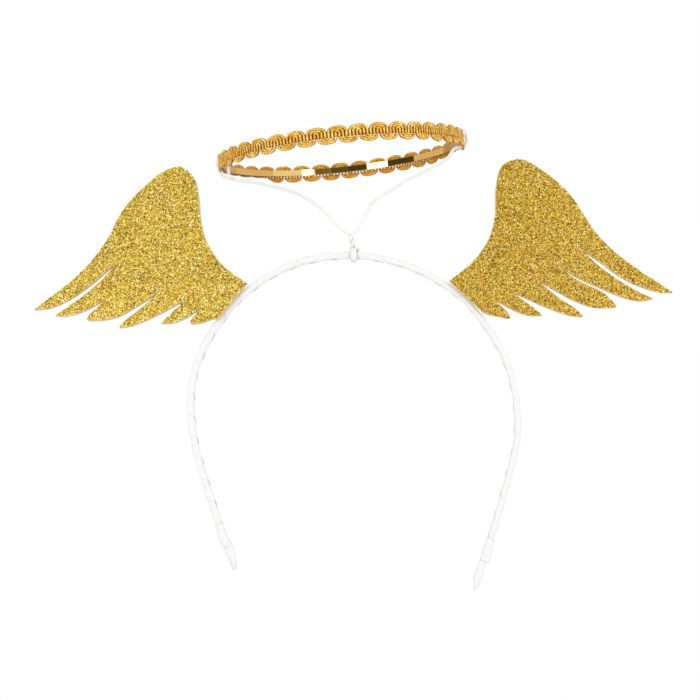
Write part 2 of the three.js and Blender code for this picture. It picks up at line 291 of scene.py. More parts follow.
class Route:
    """A smooth line through points, walked by its length. It is a centripetal spline, as the packed
    wire's and strap's own lines are."""

    STEPS = 24

    def __init__(self, points):
        p = [np.array(q, float) for q in points]
        p = [2 * p[0] - p[1], *p, 2 * p[-1] - p[-2]]
        line = [p[1]]
        for a, b, c, d in zip(p, p[1:], p[2:], p[3:]):
            knots = np.cumsum([0.0, *(np.linalg.norm(v) ** 0.5 for v in (b - a, c - b, d - c))])
            for k in range(1, self.STEPS + 1):
                line.append(self.between((a, b, c, d), knots, k / self.STEPS))
        self.line = np.array(line)
        self.run = np.concatenate([[0.0], np.cumsum(np.linalg.norm(np.diff(self.line, axis=0), axis=1))])
        self.length = self.run[-1]

    @staticmethod
    def between(points, knots, share):
        """The place at this share of the stretch between the two middle points."""
        t = knots[1] + share * (knots[2] - knots[1])

        def blend(first, second, low, high):
            return ((knots[high] - t) * first + (t - knots[low]) * second) / (knots[high] - knots[low])

        a, b, c, d = points
        ab, bc, cd = blend(a, b, 0, 1), blend(b, c, 1, 2), blend(c, d, 2, 3)
        return blend(blend(ab, bc, 0, 2), blend(bc, cd, 1, 3), 1, 2)

    def at(self, distance):
        """The point this far along, on a straight line past either end."""
        inside = min(max(distance, 0.0), self.length)
        point = np.array([np.interp(inside, self.run, self.line[:, k]) for k in range(3)])
        return Vector(point) + self.direction(inside) * (distance - inside)

    def direction(self, distance):
        near = 0.4 * MM
        ends = np.clip([distance - near, distance + near], 0.0, self.length)
        a, b = ([np.interp(e, self.run, self.line[:, k]) for k in range(3)] for e in ends)
        return (Vector(b) - Vector(a)).normalized()

    def spaced(self, gap):
        count = max(2, round(self.length / gap))
        return [self.at(self.length * k / count) for k in range(count + 1)]


# Nodes and finishes

def both_ways(operation):
    """An operator on shades, and its reflected form."""
    return (
        lambda self, other: self.maths(operation, self, other),
        lambda self, other: self.maths(operation, other, self),
    )


class Shade:
    """A socket of a node tree. An expression on shades adds its Math nodes."""

    def __init__(self, nodes, socket):
        self.nodes = nodes
        self.socket = socket

    def maths(self, operation, *values):
        return self.nodes.node("ShaderNodeMath", {"operation": operation}, dict(enumerate(values)))["Value"]

    __add__, __radd__ = both_ways("ADD")
    __sub__, __rsub__ = both_ways("SUBTRACT")
    __mul__, __rmul__ = both_ways("MULTIPLY")
    __truediv__, __rtruediv__ = both_ways("DIVIDE")
    __pow__, __rpow__ = both_ways("POWER")

    def __abs__(self):
        return self.maths("ABSOLUTE", self)

    def wave(self):
        return self.maths("SINE", self) * 0.5 + 0.5


class Made:
    """A node just made, whose outputs are read as shades by name or number."""

    def __init__(self, nodes, node):
        self.nodes = nodes
        self.made = node

    def __getitem__(self, output):
        return Shade(self.nodes, self.made.outputs[output])


class Nodes:
    """A node tree, in which one method makes every node."""

    def __init__(self, tree):
        self.tree = tree

    def node(self, kind, settings=None, sockets=None):
        """Makes a node: its settings first, then the values or links of its sockets."""
        node = self.tree.nodes.new(kind)
        for key, value in (settings or {}).items():
            if key == "stops":
                ramp = node.color_ramp.elements
                while len(ramp) < len(value):
                    ramp.new(1.0)
                for element, (position, colour) in zip(ramp, value):
                    element.position = position
                    element.color = (*colour, 1.0)
            else:
                setattr(node, key, value)
        for key, value in (sockets or {}).items():
            self.link(value, node.inputs[key])
        return Made(self, node)

    def link(self, value, socket):
        if isinstance(value, Shade):
            self.tree.links.new(value.socket, socket)
        else:
            socket.default_value = value


class Finish(Nodes):
    """A material. Values that are the same all over are set on its shader's own sockets."""

    def __init__(self, name, **values):
        self.material = bpy.data.materials.new(name)
        self.material.use_nodes = True
        super().__init__(self.material.node_tree)
        self.shader = self.tree.nodes["Principled BSDF"]
        self.drive(**values)

    def drive(self, **values):
        """Gives the shader's sockets their values, or feeds them what changes over the surface."""
        for key, value in values.items():
            self.link(value, self.shader.inputs[key.replace("_", " ").title().replace("Ior", "IOR")])
        return self

    def place(self):
        return self.node("ShaderNodeTexCoord")["Object"]

    def cloud(self, grain, detail=3.0, roughness=0.5):
        """Soft noise from 0 to 1, whose lumps are about this many metres across."""
        return self.node("ShaderNodeTexNoise", {}, {
            "Vector": self.place(), "Scale": 1 / grain, "Detail": detail, "Roughness": roughness,
        })["Fac"]

    def cells(self, width):
        """Cells about this many metres across."""
        return self.node("ShaderNodeTexVoronoi", {}, {"Vector": self.place(), "Scale": 1 / width})

    def ramp(self, value, *stops):
        return self.node("ShaderNodeValToRGB", {"stops": stops}, {"Fac": value})["Color"]

    def mixed(self, share, under, over):
        """One colour over another, as far as share says."""
        return self.node("ShaderNodeMix", {"data_type": "RGBA"}, {0: share, 6: under, 7: over})[2]

    def bump(self, height, depth, strength=1.0):
        return self.node("ShaderNodeBump", {}, {
            "Height": height, "Distance": depth, "Strength": strength,
        })["Normal"]


def satin_finish():
    """White satin ribbon: fine threads along it, a raised selvedge and slightly uneven lustre."""
    finish = Finish("satin_ribbon")
    across = finish.node("ShaderNodeSeparateXYZ", {}, {0: finish.node("ShaderNodeUVMap")["UV"]})["Y"]
    threads = (across * (2 * math.pi * 60)).wave()
    from_middle = abs(across * 2 - 1)
    lustre = finish.cloud(2.5 * MM)
    colour = finish.ramp(lustre, (0.25, (0.715, 0.715, 0.71)), (0.75, (0.75, 0.75, 0.747)))
    height = threads * 0.06 + from_middle ** 14 + lustre * 0.8
    return finish.drive(
        base_color=colour, roughness=0.36 + lustre * 0.2, normal=finish.bump(height, 0.02 * MM, 0.5),
    ).material


def core_finish():
    """The plain white strip inside the ribbon."""
    finish = Finish("strap_core", roughness=0.5)
    return finish.drive(
        base_color=finish.ramp(finish.cloud(0.8 * MM), (0.3, (0.62, 0.62, 0.61)), (0.7, (0.68, 0.68, 0.67))),
    ).material


def toned(side, *stops):
    """A ramp's stops darkened by one wing's painted shade."""
    return [(at, tuple(c * share for c, share in zip(colour, WING_PAINTED_SHADE[side]))) for at, colour in stops]


def flake_finish(side):
    """Metallic glitter, each flake of one tone: bronze, orange, gold, olive or pale yellow."""
    finish = Finish(f"glitter_flake_{side}", metallic=0.88)
    tone = finish.node("ShaderNodeAttribute", {"attribute_name": "tone"})["Fac"]
    # painted shade: the flakes' stops are darkened for this wing
    colour = finish.ramp(tone, *toned(
        side,
        (0.0, (0.05, 0.028, 0.003)), (0.12, (0.36, 0.10, 0.008)), (0.24, (0.70, 0.31, 0.022)),
        (0.36, (0.34, 0.33, 0.025)), (0.50, (0.92, 0.53, 0.055)), (0.64, (0.66, 0.67, 0.070)),
        (0.80, (1.0, 0.85, 0.17)), (1.0, (1.0, 1.0, 0.75)),
    ))
    return finish.drive(base_color=colour, roughness=0.44 + tone * 0.12).material


def binder_finish(side):
    """The gold coat that the flakes are set in."""
    finish = Finish(f"glitter_binder_{side}", metallic=0.5, roughness=0.5)
    tone = finish.node("ShaderNodeSeparateColor", {}, {0: finish.cells(0.45 * MM)["Color"]})["Red"]
    # painted shade: the coat's stops are darkened for this wing
    colour = finish.ramp(tone, *toned(
        side, (0.0, (0.20, 0.10, 0.010)), (0.5, (0.56, 0.36, 0.04)), (1.0, (0.85, 0.66, 0.11)),
    ))
    return finish.drive(base_color=colour, normal=finish.bump(tone, 0.08 * MM)).material


def foam_finish():
    """Gold-tan craft foam, bare on its back and its cut edge, with its fine closed cells."""
    finish = Finish("foam")
    cells = finish.cells(0.35 * MM)["Distance"]
    patches = finish.cloud(6 * MM)
    colour = finish.ramp(patches * 0.6 + cells * 0.4, (0.2, (0.58, 0.42, 0.21)), (0.8, (0.69, 0.53, 0.30)))
    return finish.drive(
        base_color=colour, roughness=0.7 + patches * 0.2, normal=finish.bump(cells, 0.06 * MM, 0.6),
    ).material


def braid_finish():
    """Gold lurex thread, with painted shade brown in its hollows, orange on its flanks and a painted
    highlight yellow on its crowns.
    """
    finish = Finish("gimp_thread", metallic=0.5)
    crown = finish.node("ShaderNodeAttribute", {"attribute_name": "crown"})["Fac"]
    strands = finish.cloud(0.5 * MM, 2.0)
    patches = finish.cloud(2.2 * MM, 2.0)
    # painted light: the attribute read above brings painted shade and painted highlight, and the two clouds
    # add the thread's own uneven tone
    tone = crown * 0.78 + strands * 0.90 + patches * 0.60 - 0.70
    colour = finish.ramp(
        tone,
        (0.06, (0.17, 0.052, 0.002)), (0.34, (0.42, 0.148, 0.005)), (0.56, (0.61, 0.295, 0.014)),
        (0.74, (0.75, 0.46, 0.050)), (0.93, (1.0, 0.88, 0.50)),
    )
    return finish.drive(
        base_color=colour, roughness=0.32 + strands * 0.25, normal=finish.bump(strands, 0.05 * MM, 0.5),
    ).material


def mirror_finish():
    """Mirror-gold foil on a thin plastic strip, with faint smears and waves, and painted shade by the hooks:
    dull brown, darker towards the right.
    """
    finish = Finish("mirror_strip", metallic=1.0)
    smears = finish.cloud(3.5 * MM)
    foil = finish.ramp(smears, (0.3, (0.64, 0.393, 0.122)), (0.7, (0.69, 0.430, 0.138)))
    middle = HALO.translation.x + (PAINTED_SHADE_END["right"] - PAINTED_SHADE_END["left"]) / 2
    across = finish.node("ShaderNodeSeparateXYZ", {}, {0: finish.place()})["X"] - middle
    aside = abs(across) + smears * (1.5 * MM)
    reach = (PAINTED_SHADE_END["right"] + PAINTED_SHADE_END["left"]) / 2
    # painted shade by the hooks: the mask of the dull brown ends, which also raises the roughness there
    shade_mask = finish.ramp(aside / reach, (0.97, (0.0, 0.0, 0.0)), (1.03, (1.0, 1.0, 1.0)))
    shade_depth = finish.cloud(0.6 * MM) * 0.3 + across / reach * 0.35 + 0.35
    painted_shade = finish.ramp(shade_depth, (0.1, (0.60, 0.38, 0.13)), (0.9, (0.48, 0.235, 0.045)))
    colour = finish.mixed(shade_mask, foil, painted_shade)
    return finish.drive(
        base_color=colour, roughness=0.02 + smears * 0.04 + shade_mask * 0.3,
        normal=finish.bump(smears, 0.05 * MM, 0.2),
    ).material


def wire_finish():
    """White coated wire, a little uneven where it was wound by hand."""
    finish = Finish("white_wire")
    lumps = finish.cloud(2.4 * MM, 1.0)
    colour = finish.ramp(lumps, (0.3, (0.73, 0.73, 0.72)), (0.7, (0.78, 0.78, 0.775)))
    return finish.drive(
        base_color=colour, roughness=0.34 + lumps * 0.16, normal=finish.bump(lumps, 0.06 * MM, 0.3),
    ).material


# The arch and its ribbon

def strap_route():
    """The strap's middle line from the left tip to the right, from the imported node's rear edge."""
    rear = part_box("headband")[1].y - 0.05 * MM
    same_section = 0.022  # radians at most between the points of one section
    edge = {}
    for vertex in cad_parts["headband"].data.vertices:
        point = vertex.co
        if point.y > rear:
            bearing = math.atan2(point.x - HEAD_MIDDLE.x, point.z - HEAD_MIDDLE.z)
            edge.setdefault(round(bearing, 4), point.copy())
    order = sorted(edge)
    groups = [[order[0]]]
    for bearing in order[1:]:
        if bearing - groups[-1][-1] < same_section:
            groups[-1].append(bearing)
        else:
            groups.append([bearing])
    points = []
    for group in groups:
        middle = sum((edge[b] for b in group), Vector()) / len(group)
        points.append((middle.x, 0.0, middle.z))
    return Route(points)


class Section:
    """A rounded section, walked by the share of its way round: clockwise, seen with +Y to the right."""

    def __init__(self, depth, thickness, radius, steps=5):
        rows = []
        for side, up, start in ((-1, 1, 180), (1, 1, 90), (1, -1, 0), (-1, -1, -90)):
            for k in range(steps + 1):
                angle = math.radians(start - 90 * k / steps)
                out = Vector((math.cos(angle), math.sin(angle)))
                middle = Vector((side * (depth / 2 - radius), up * (thickness / 2 - radius)))
                rows.append((*(middle + out * radius), *out))
        self.rows = np.array([*rows, rows[0]])
        lengths = np.linalg.norm(np.diff(self.rows[:, :2], axis=0), axis=1)
        self.length = lengths.sum()
        self.run = np.concatenate([[0.0], np.cumsum(lengths)]) / self.length

    def at(self, share, lift):
        y, up, out_y, out_up = (np.interp(share % 1.0, self.run, self.rows[:, k]) for k in range(4))
        return y + out_y * lift, up + out_up * lift


STRAP_SECTION = Section(BAND_DEPTH, BAND_THICKNESS, BAND_EDGE_RADIUS)


def on_strap(route, distance, y, up):
    """The place beside the strap's middle line: y to the rear, up away from the head."""
    along = route.direction(min(max(distance, 0.0), route.length))
    away = Vector((-along.z, 0.0, along.x))
    share = distance / route.length
    fuller = LEFT_FULLNESS * stretch(LEFT_FULL_RUN, share)
    shift = (LEFT_INWARDS + RIGHT_OUTWARDS) * smooth_step(*OUTWARDS_RUN, share) - LEFT_INWARDS - fuller / 2
    return route.at(distance) + Vector((0.0, y, 0.0)) + away * (up * (1 + fuller / BAND_THICKNESS) + shift)


def ribbon_wrap(route):
    """One ribbon wound from tip to tip, each turn lapped over the one before."""
    turns = (route.length - 2 * WRAP_MARGIN - RIBBON_WIDTH) / RIBBON_PITCH
    lap = RIBBON_WIDTH - RIBBON_PITCH

    def place(u, v):
        turn = u * turns
        sway = noise.noise(Vector((turn * 0.9, 3.1, 0.0))) * RIBBON_SWAY
        start = WRAP_MARGIN + turn * RIBBON_PITCH + sway
        inward = v * RIBBON_WIDTH
        down = smooth_step(lap * LAP_SHARE, lap * LAP_SHARE + LAP_FALL, inward)
        ripple = noise.noise(Vector((turn * 5.0, v * 2.5, 9.0))) * RIBBON_RIPPLE
        y, up = STRAP_SECTION.at(turn, ripple - down * LAP_LIFT)
        return on_strap(route, start + inward, y, up)

    wrap = laid("ribbon_wrap", round(turns * RIBBON_STEPS_A_TURN), RIBBON_STRIPS, place)
    modified(wrap, "SOLIDIFY", thickness=RIBBON_THICKNESS, offset=1.0)
    finished(smoothed(wrap, 35), satin_finish(), ["headband"])


def strap_core(route):
    """The strip that the ribbon is wound on, all but hidden by it."""
    section = Section(BAND_DEPTH - 2 * CORE_INSET, BAND_THICKNESS - 2 * CORE_INSET, CORE_EDGE_RADIUS)

    def place(u, v):
        y, up = section.at(v, 0.0)
        return on_strap(route, CORE_END + u * (route.length - 2 * CORE_END), y, up)

    core = laid("strap_core", 160, 20, place)
    merged(core)
    edited(
        core,
        lambda: bpy.ops.mesh.select_all(action="DESELECT"),
        lambda: bpy.ops.mesh.select_mode(type="EDGE"),
        lambda: bpy.ops.mesh.select_non_manifold(),
        lambda: bpy.ops.mesh.fill_holes(sides=0),
    )
    return finished(smoothed(core), core_finish())


def tip_cuff(side, route):
    """The ribbon's last turn near a tip, glued over the others. Its cut edge, towards the tip, stands a
    little proud, and most of all on the outside of the arch."""

    def place(u, v):
        run = CUFF_START[side] + u * CUFF_LENGTH + noise.noise(Vector((v * 3, 0.0, 7.0))) * CUFF_WAVER
        edge, inner = CUFF_LIFTS
        y, up = STRAP_SECTION.at(v, edge + (inner - edge) * u)
        up += CUFF_FLARE[side] * smooth_step(*CUFF_FLARED, u) * smooth_step(0.0, BAND_THICKNESS / 2, up)
        return on_strap(route, run if side == "left" else route.length - run, y, up)

    cuff = laid(f"tip_cuff_{side}", 24, 48, place)
    merged(cuff)
    modified(cuff, "SOLIDIFY", thickness=RIBBON_THICKNESS, offset=1.0)
    return finished(smoothed(cuff, 35), satin_finish())


def tip_fold(side, route):
    """The ribbon's end folded over a tip: it thins towards the head side, and a crease runs down it."""
    half = BAND_THICKNESS / 2

    def place(u, v):
        to_end = (TIP_REACH + TIP_PAST_END[side]) * (1 - u)
        y, up = STRAP_SECTION.at(v, -0.9 * RIBBON_THICKNESS)
        taper = smooth_step(TIP_TAPER[side], TIP_BLUNT, to_end)
        thin = 1 - TIP_THINNING * taper
        end = max(0.0, 1 - max(0.0, 1 - to_end / TIP_ROUNDING) ** 2) ** 0.5
        crease = math.exp(-((up / half - CREASE_HEIGHT) / CREASE_WIDTH) ** 2) * taper * CREASE_DEPTH
        y -= math.copysign(crease, y) if abs(y) > BAND_DEPTH * 0.3 else 0.0
        up -= TIP_BULGE[side] * stretch(TIP_BULGE_RUN, to_end) * smooth_step(0.0, -half, up)
        up = up * thin * end - half * 0.75 * (1 - thin)
        up += noise.noise(Vector((u * 8, v * 4, 5.0))) * TIP_LUMPS * taper * end
        y *= (1 - TIP_NARROWING * taper) * (0.25 + 0.75 * end)
        run = to_end - TIP_PAST_END[side]
        return on_strap(route, run if side == "left" else route.length - run, y, up)

    fold = laid(f"tip_fold_{side}", 60, 48, place)
    merged(fold)
    return finished(smoothed(fold, 50), satin_finish())


# The wings

FRONT = Vector((0.0, -1.0, 0.0))
WING_THICKNESS = 2.0 * MM
WING_EASE = 0.2 * MM
FLAT_FACE = 0.95  # how squarely a face looks out to be the plate's flat front
FLAKED_FACE = 0.9  # or to take flakes, as the eased edge beside it does too

# Each wing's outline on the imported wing's front face, in millimetres across and up. It starts at the
# root's upper corner. A feather has its upper edge, its tip, how far the tip is rounded, its lower edge
# and the notch under it. The first feather's upper edge is the wing's own, and the last notch is the
# root's lower corner.
WING_OUTLINES = {
    "left": ((-42.4, -9.9), (
        (((-47.4, -6.5), (-52.0, -2.9), (-55.8, 1.6), (-59.5, 8.1), (-61.5, 16.2), (-62.3, 24.7),
          (-64.5, 33.0), (-70.2, 37.5), (-77.6, 35.2), (-83.2, 30.7), (-89.3, 25.0), (-94.5, 17.9),
          (-98.5, 9.9), (-103.3, 2.5), (-108.9, -3.9), (-115.3, -9.8), (-122.2, -15.0)),
         (-129.1, -20.4), 0.4,
         ((-123.0, -19.8), (-116.9, -17.5), (-111.2, -14.2), (-105.5, -10.0), (-100.7, -5.9)),
         (-95.7, -1.4)),
        (((-99.0, -5.7), (-103.5, -10.2), (-109.1, -14.8), (-114.8, -18.9)),
         (-120.6, -22.8), 0.8,
         ((-115.9, -23.0), (-110.6, -21.7), (-106.1, -19.8)), (-99.6, -16.0)),
        (((-103.3, -19.6), (-105.8, -21.9)),
         (-107.9, -24.8), 2.0,
         ((-100.7, -24.6), (-94.2, -23.1), (-88.5, -20.0), (-83.3, -16.8)),
         (-77.1, -12.4)),
        (((-81.8, -16.8), (-86.9, -21.1), (-91.3, -24.5)),
         (-94.3, -27.8), 0.8,
         ((-89.7, -27.1), (-82.8, -24.6), (-75.9, -21.3), (-71.5, -18.8)),
         (-67.3, -16.8)),
        (((-70.0, -19.2), (-73.5, -22.4)),
         (-77.3, -26.1), 0.9,
         ((-72.2, -25.8), (-67.8, -24.2), (-64.6, -22.3)), (-60.0, -19.3)),
        (((-62.5, -21.7), (-64.2, -23.6)),
         (-65.5, -26.4), 1.0,
         ((-60.9, -25.8), (-56.1, -24.2)), (-54.0, -24.0)),
    )),
    "right": ((38.1, -9.1), (
        (((42.2, -5.8), (46.6, -2.3), (50.8, 2.7), (54.3, 8.4), (56.6, 17.1), (57.0, 28.0),
          (59.7, 37.4), (67.3, 39.9), (75.3, 35.8), (82.1, 30.6), (87.9, 24.5), (92.6, 17.3),
          (97.5, 10.1), (103.4, 4.0), (110.2, -1.5), (117.1, -6.3), (123.4, -10.3)),
         (128.3, -13.7), 0.4,
         ((123.4, -13.6), (117.0, -12.0), (110.5, -9.3), (104.5, -5.7), (98.5, -1.3)),
         (91.5, 3.4)),
        (((95.7, -0.5), (100.9, -4.9), (107.7, -9.5), (114.5, -13.4)),
         (120.5, -16.1), 0.6,
         ((114.9, -17.1), (108.0, -15.7), (102.4, -13.5), (97.6, -11.3), (92.9, -9.3), (88.1, -6.8)),
         (82.7, -2.9)),
        (((87.7, -7.3), (92.5, -10.0), (98.0, -12.4), (101.9, -15.2)),
         (105.9, -19.7), 2.0,
         ((96.3, -19.7), (89.7, -17.6), (84.0, -14.8), (79.0, -12.0)), (73.8, -8.9)),
        (((78.5, -12.9), (83.4, -16.6), (88.2, -19.7)),
         (92.3, -23.5), 1.2,
         ((87.0, -23.0), (80.9, -21.2), (74.2, -18.5), (69.4, -16.3)), (64.2, -13.9)),
        (((67.9, -16.9), (72.2, -19.9)),
         (75.6, -23.0), 0.9,
         ((69.7, -22.9), (64.9, -21.3), (60.9, -19.2)), (56.9, -16.9)),
        (((59.3, -19.3), (61.6, -21.7)),
         (62.8, -24.4), 1.3,
         ((57.7, -23.4), (53.3, -22.4)), (51.6, -21.6)),
    )),
}


def wing_outline(start, feathers):
    """A wing's outline as points, in metres: smooth edges, rounded tips and sharp notches."""
    points = []
    for upper, point, rounding, lower, notch in feathers:
        tip = Vector(point)
        over = Route([(*p, 0.0) for p in (start, *upper, point)]).spaced(0.5)
        under = Route([(*p, 0.0) for p in (point, *lower, notch)]).spaced(0.5)
        before = [p.to_2d() for p in over if (p.to_2d() - tip).length > rounding]
        after = [p.to_2d() for p in under if (p.to_2d() - tip).length > rounding]
        a, b = before[-1], after[0]
        turn = [a * (1 - t) ** 2 + tip * (2 * t * (1 - t)) + b * t * t for t in (0.2, 0.4, 0.6, 0.8)]
        points += [*before, *turn, *after[:-1]]
        start = notch
    points.append(Vector(start))
    return [p * MM for p in points]


def wing_plate(side):
    """The foam plate, with eased edges: bare on its back, glittered on its front."""
    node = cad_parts["wing_" + side]
    face = max(node.data.polygons, key=lambda f: f.area * f.normal.dot(FRONT))
    corner = node.data.vertices[face.vertices[0]].co
    out = face.normal.normalized()
    across = Vector((0.0, 0.0, 1.0)).cross(out).normalized()
    plane = Matrix((across, out.cross(across), out)).transposed().to_4x4()
    curve = bpy.data.curves.new("outline", "CURVE")
    curve.dimensions = "2D"
    curve.fill_mode = "BOTH"
    curve.bevel_depth = WING_EASE
    curve.bevel_resolution = 1
    curve.offset = -WING_EASE
    curve.extrude = WING_THICKNESS / 2 - WING_EASE
    spline = curve.splines.new("POLY")
    spline.use_cyclic_u = True
    outline = wing_outline(*WING_OUTLINES[side])
    spline.points.add(len(outline) - 1)
    for point, at in zip(spline.points, outline):
        depth = out.dot(corner - Vector((at.x, 0.0, at.y))) / out.y
        local = plane.inverted() @ (Vector((at.x, depth, at.y)) - corner)
        point.co = (local.x, local.y, 0.0, 1.0)
    plate = bpy.data.objects.new(f"wing_{side}_foam", curve)
    bpy.context.collection.objects.link(plate)
    only(plate)
    bpy.ops.object.convert(target="MESH")
    plate = started(f"wing_{side}_foam")
    merged(plate)
    plate.data.transform(Matrix.Translation(corner) @ plane @ Matrix.Translation((0, 0, -WING_THICKNESS / 2)))
    finished(smoothed(plate, 35), [foam_finish(), binder_finish(side)], ["wing_" + side])
    for polygon in plate.data.polygons:
        polygon.material_index = 1 if polygon.normal.dot(out) > FLAT_FACE else 0
    return plate


def glitter_tree(seed):
    """Flakes scattered over the faces that look to the front: little hexagons, each tilted its own way."""
    nodes = Nodes(bpy.data.node_groups.new("glitter", "GeometryNodeTree"))
    for way in ("INPUT", "OUTPUT"):
        nodes.tree.interface.new_socket("Geometry", in_out=way, socket_type="NodeSocketGeometry")

    def chance(low, high, salt):
        """A number or a vector between these two, another for each flake."""
        first, kind = (0, "FLOAT_VECTOR") if isinstance(low, tuple) else (2, "FLOAT")
        return nodes.node("FunctionNodeRandomValue", {"data_type": kind}, {
            first: low, first + 1: high, "Seed": seed + salt,
        })[first // 2]

    facing = nodes.node("ShaderNodeVectorMath", {"operation": "DOT_PRODUCT"}, {
        0: nodes.node("GeometryNodeInputNormal")[0], 1: tuple(FRONT),
    })
    front = nodes.node("FunctionNodeCompare", {"data_type": "FLOAT", "operation": "GREATER_THAN"}, {
        0: facing["Value"], 1: FLAKED_FACE,
    })
    points = nodes.node("GeometryNodeDistributePointsOnFaces", {"distribute_method": "POISSON"}, {
        "Mesh": nodes.node("NodeGroupInput")[0], "Selection": front[0], "Distance Min": FLAKE_SPACING,
        "Density Max": 2 / FLAKE_SPACING ** 2, "Seed": seed,
    })
    flake = nodes.node("GeometryNodeMeshCircle", {"fill_type": "NGON"}, {
        "Vertices": 6, "Radius": FLAKE_RADIUS,
    })
    flakes = nodes.node("GeometryNodeInstanceOnPoints", {}, {
        "Points": points["Points"], "Instance": flake["Mesh"], "Rotation": points["Rotation"],
        "Scale": chance(*FLAKE_SIZES, 1),
    })
    turned = nodes.node("GeometryNodeRotateInstances", {}, {
        "Instances": flakes[0],
        "Rotation": chance((-FLAKE_LEAN, -FLAKE_LEAN, 0), (FLAKE_LEAN, FLAKE_LEAN, 2 * math.pi), 2),
    })
    low, high = FLAKE_LIFTS
    lifted = nodes.node("GeometryNodeTranslateInstances", {}, {
        "Instances": turned[0], "Translation": chance((0, 0, low), (0, 0, high), 3),
    })
    toned = nodes.node("GeometryNodeStoreNamedAttribute", {"data_type": "FLOAT", "domain": "INSTANCE"}, {
        "Geometry": lifted[0], "Name": "tone", "Value": chance(0.0, 1.0, 4),
    })
    real = nodes.node("GeometryNodeRealizeInstances", {}, {"Geometry": toned[0]})
    nodes.node("NodeGroupOutput", {}, {0: real[0]})
    return nodes.tree


def wing_glitter(side, plate, seed):
    """The flakes on a wing's front. They start as a copy of the plate, without what was said of it."""
    only(plate)
    bpy.ops.object.duplicate()
    flakes = started(f"wing_{side}_glitter")
    flakes.parent = None
    for key in list(flakes.keys()):
        del flakes[key]
    modified(flakes, "NODES", node_group=glitter_tree(seed))
    return finished(flakes, flake_finish(side))


# The halo

def halo_place():
    """The halo's own frame and its strip's inner and outer radii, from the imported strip."""
    points = np.array([v.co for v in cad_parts["halo_strip"].data.vertices])
    middle = (points.min(0) + points.max(0)) / 2
    up = np.linalg.svd(points - points.mean(0), full_matrices=False)[2][2]
    up = Vector(up if up[2] > 0 else -up)
    right = Vector((0.0, 1.0, 0.0)).cross(up).normalized()
    rear = up.cross(right)
    turn = Matrix((right, rear, up)).transposed().to_4x4()
    place = Matrix.Translation(Vector(middle)) @ turn
    local = [place.inverted() @ Vector(p) for p in points]
    radii = [math.hypot(p.x, p.y) for p in local]
    return place, min(radii), max(radii)


HALO, STRIP_INNER, STRIP_OUTER = halo_place()
BRAID_RADIUS = STRIP_OUTER + WIRE_GAP + CORD_WIDTH / 2
PITCH = 2 * math.pi * BRAID_RADIUS / BRAID_LOBES


def lobe(half_width, height, middle_x, middle_z, up):
    """Half a rounded loop, from its left foot to its right."""
    points = []
    steps = 6 + round(8 * half_width / (PITCH / 2))
    for k in range(steps + 1):
        angle = math.pi * (1 - k / steps)
        c, s = math.cos(angle), math.sin(angle)
        x = math.copysign(abs(c) ** (2 / LOBE_ROUNDNESS), c)
        z = up * abs(s) ** (2 / LOBE_ROUNDNESS)
        points.append((middle_x + half_width * x, 0.0, middle_z + height * z))
    return points


def cord_line(share):
    """One pitch of a cord: over its upper lobe, down, under its lower lobe and up again."""
    crest = BRAID_HEIGHT / 2 - CORD_WIDTH / 2 - LOBE_MIDDLE
    half = PITCH / 2
    widths = (share * half, (1 - share) * half)
    heights = [crest * (w / (CORD_REACHES[-1] * half)) ** 0.95 for w in widths]
    upper = lobe(widths[0], heights[0], 0.0, LOBE_MIDDLE, 1)
    lower = lobe(widths[1], heights[1], half, -LOBE_MIDDLE, -1)
    steps = (0.5, 0.0, -0.4, -0.75)
    down = [(widths[0], 0.0, LOBE_MIDDLE * z) for z in steps]
    rise = [(PITCH - widths[0], 0.0, LOBE_MIDDLE * z) for z in reversed(steps)]
    return upper + down + lower + rise + [(PITCH - widths[0], 0.0, LOBE_MIDDLE)]


def nipped(point):
    """How much of a cord's width is left beside the running thread."""
    return 1 - PINHOLE_NIP * math.exp(-((point[2] + PINHOLE_DROP) / PINHOLE_WIDTH) ** 2)


def cord_profile():
    """The outline of two plies side by side."""
    bpy.ops.curve.primitive_bezier_circle_add(radius=CORD_WIDTH / 2)
    profile = started("cord_profile")
    profile.data.dimensions = "2D"
    spline = profile.data.splines
    spline.remove(spline[0])
    outline = spline.new("POLY")
    outline.use_cyclic_u = True
    count = 8
    outline.points.add(count - 1)
    for k, point in enumerate(outline.points):
        angle = 2 * math.pi * k / count
        radius = CORD_WIDTH / 2 * (0.95 + 0.08 * math.cos(2 * angle))
        point.co = (radius * math.cos(angle), radius * math.sin(angle), 0.0, 1.0)
    return profile


def squeezed(degrees, z):
    """Where the wire hooks pull the hoop's ends up, the lower lobes are squeezed under the strip. One
    lobe by the right hook hangs lower instead, over the strip's end."""
    squeeze = 0.78 * max(stretch(LEFT_SQUEEZE, degrees), 0.9 * stretch(RIGHT_SQUEEZE, degrees))
    edge = -STRIP_HEIGHT / 2 + BRAID_MIDDLE_DROP
    return edge + (z - edge) * (1 - squeeze + 0.2 * stretch(LOW_LOBE, degrees)) if z < edge else z


def wrapped_round(piece):
    """Bends a straight run of braid, x along it and z up, into the hoop. It stores painted light on each
    point: a painted highlight on the cords' crowns and the lobes' outer edge, and painted shade in the
    hollows and at the rear."""
    crown = piece.data.attributes.new("crown", "FLOAT", "POINT")
    for vertex in piece.data.vertices:
        x, y, z = vertex.co
        # painted shade in the hollows and on the inside, and a painted highlight on the crowns and the rim
        lit = (abs(y) / (CORD_WIDTH / 2 * nipped((x, y, z)))) ** 1.4 * (1.0 if y < 0 else 0.8)
        crown.data[vertex.index].value = min(max(lit, 0.55 * smooth_step(*RIM, abs(z))), 1.0)
        angle = x / BRAID_RADIUS
        angle -= LOBE_CROWDING * math.sin(angle)
        place = Vector((BRAID_RADIUS * math.cos(angle), BRAID_RADIUS * math.sin(angle), z))
        ripple = noise.noise(place / BRAID_RIPPLE_GRAIN) * BRAID_RIPPLE
        z = squeezed(math.degrees(angle) % 360, z)
        out = BRAID_RADIUS - y + ripple
        vertex.co = HALO @ Vector((
            out * math.cos(angle), out * math.sin(angle), z - BRAID_MIDDLE_DROP + 1.2 * ripple,
        ))
    piece.data.update()


